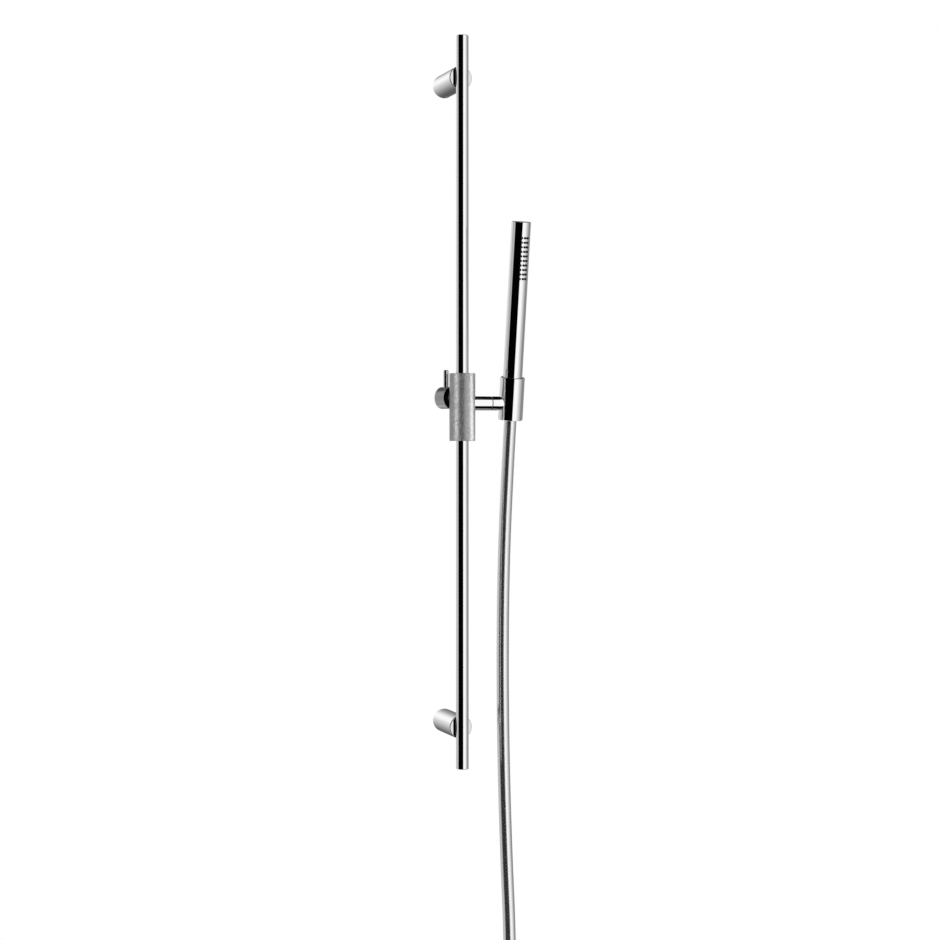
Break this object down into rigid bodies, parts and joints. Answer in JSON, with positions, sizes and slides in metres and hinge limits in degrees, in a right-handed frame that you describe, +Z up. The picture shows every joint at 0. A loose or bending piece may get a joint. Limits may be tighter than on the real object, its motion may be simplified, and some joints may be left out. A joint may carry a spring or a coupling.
{
  "type": "shower slide rail",
  "caption": "Round wall rail on cylindrical brackets with a clamping slider, side arm, tilting holder, stick hand shower and metallic hose.",
  "frame": {"origin": "on the wall, midway between the two bracket screw holes", "axes": "+X right along the wall, +Y into the wall, +Z up along the rail"},
  "size_m": [0.2082, 0.1256, 1.5225],
  "materials": {
    "chrome": "polished chrome plate",
    "satin_chrome": "fine bead-blasted satin chrome",
    "brass": "plain turned brass",
    "steel": "plain steel",
    "plain_plastic": "dark moulded plastic",
    "black_rubber": "soft black rubber",
    "silver_hose": "smooth silver metallic plastic",
    "strap": "dark woven strap"
  },
  "bodies": {
    "rail": {"rail_tube": "chrome", "rail_top_plug": "chrome", "rail_bottom_plug": "chrome", "top_bracket_post": "chrome", "top_wall_anchor": "brass", "top_grub_screw": "steel", "top_rail_screw": "steel", "top_rail_insert": "brass", "bottom_bracket_post": "chrome", "bottom_wall_anchor": "brass", "bottom_grub_screw": "steel", "bottom_rail_screw": "steel", "bottom_rail_insert": "brass"},
    "glides": {"lower_glide_bush": "plain_plastic", "upper_glide_bush": "plain_plastic"},
    "slider": {"slider_sleeve": "satin_chrome", "slider_top_ring": "plain_plastic", "slider_bottom_ring": "plain_plastic", "clamp_shoe": "plain_plastic", "holder_arm": "chrome", "friction_washer": "plain_plastic", "swivel_bolt": "steel", "hose_tube": "silver_hose", "hose_tie": "strap", "hose_end_fitting": "brass", "hose_end_washer": "black_rubber"},
    "knob": {"clamp_spindle": "steel", "clamp_knob": "satin_chrome", "knob_pin": "chrome"},
    "holder": {"holder_cup": "chrome", "holder_liner": "plain_plastic", "hand_shower_tube": "chrome", "hand_shower_cap": "chrome", "hand_shower_connector": "brass", "nozzle_strip": "black_rubber", "hose_seal": "black_rubber", "hose_upper_fitting": "brass", "cone_nut": "chrome"},
    "hose_nut": {"hose_end_nut": "chrome"}
  },
  "joints": [
    {"name": "slider_slide", "type": "slide", "parent": "rail", "child": "glides", "axis": [0, 0, 1], "range_m": [-0.35, 0.355]},
    {"name": "slider_turn", "type": "hinge", "parent": "glides", "child": "slider", "pos_m": [0, -0.076, 0], "axis": [0, 0, 1], "range_deg": [-90, 20]},
    {"name": "holder_tilt", "type": "hinge", "parent": "slider", "child": "holder", "pos_m": [0.0663, -0.076, 0], "axis": [1, 0, 0], "range_deg": [-20, 40], "deforming": ["hose_tube"]},
    {"name": "knob_turn", "type": "hinge", "parent": "slider", "child": "knob", "pos_m": [0, -0.076, 0.0071], "axis": [-0.5, 0.866, 0], "range_deg": [0, 120]},
    {"name": "hose_nut_spin", "type": "hinge", "parent": "slider", "child": "hose_nut", "pos_m": [0.0893, -0.072, -0.72], "axis": [0, 0, 1], "continuous": true}
  ]
}
